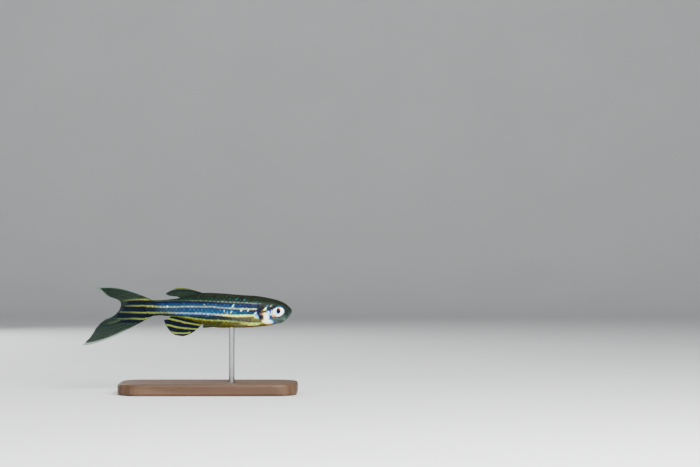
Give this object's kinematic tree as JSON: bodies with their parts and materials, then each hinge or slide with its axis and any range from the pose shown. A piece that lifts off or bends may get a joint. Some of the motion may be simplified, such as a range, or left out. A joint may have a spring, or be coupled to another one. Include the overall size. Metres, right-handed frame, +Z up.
{
  "type": "zebra danio model",
  "caption": "Life-size still model of a long-finned zebra danio swimming, held by a rod on a low flat display base.",
  "frame": {"origin": "middle of the display base's underside", "axes": "+X the way the fish's snout points, +Y to the fish's left, +Z up"},
  "size_m": [0.0555, 0.022, 0.0274],
  "materials": {
    "head_skin": "satin silver and olive fish skin",
    "body_skin": "glossy scales in blue and cream stripes",
    "eye": "polished, silver iris and black pupil",
    "fin": "satin, see-through olive with gold and navy bands",
    "clear_fin": "satin, nearly clear",
    "base_wood": "satin dark walnut",
    "rod_steel": "brushed"
  },
  "bodies": {
    "root": {"head": "head_skin", "torso": "body_skin", "tail": "body_skin", "eye_right": "eye", "eye_left": "eye", "dorsal_fin": "fin", "anal_fin": "fin", "caudal_fin_upper": "fin", "caudal_fin_lower": "fin", "pectoral_fin_right": "clear_fin", "pectoral_fin_left": "clear_fin", "pelvic_fin_right": "fin", "pelvic_fin_left": "fin", "stand_base": "base_wood", "stand_rod": "rod_steel"}
  },
  "joints": []
}
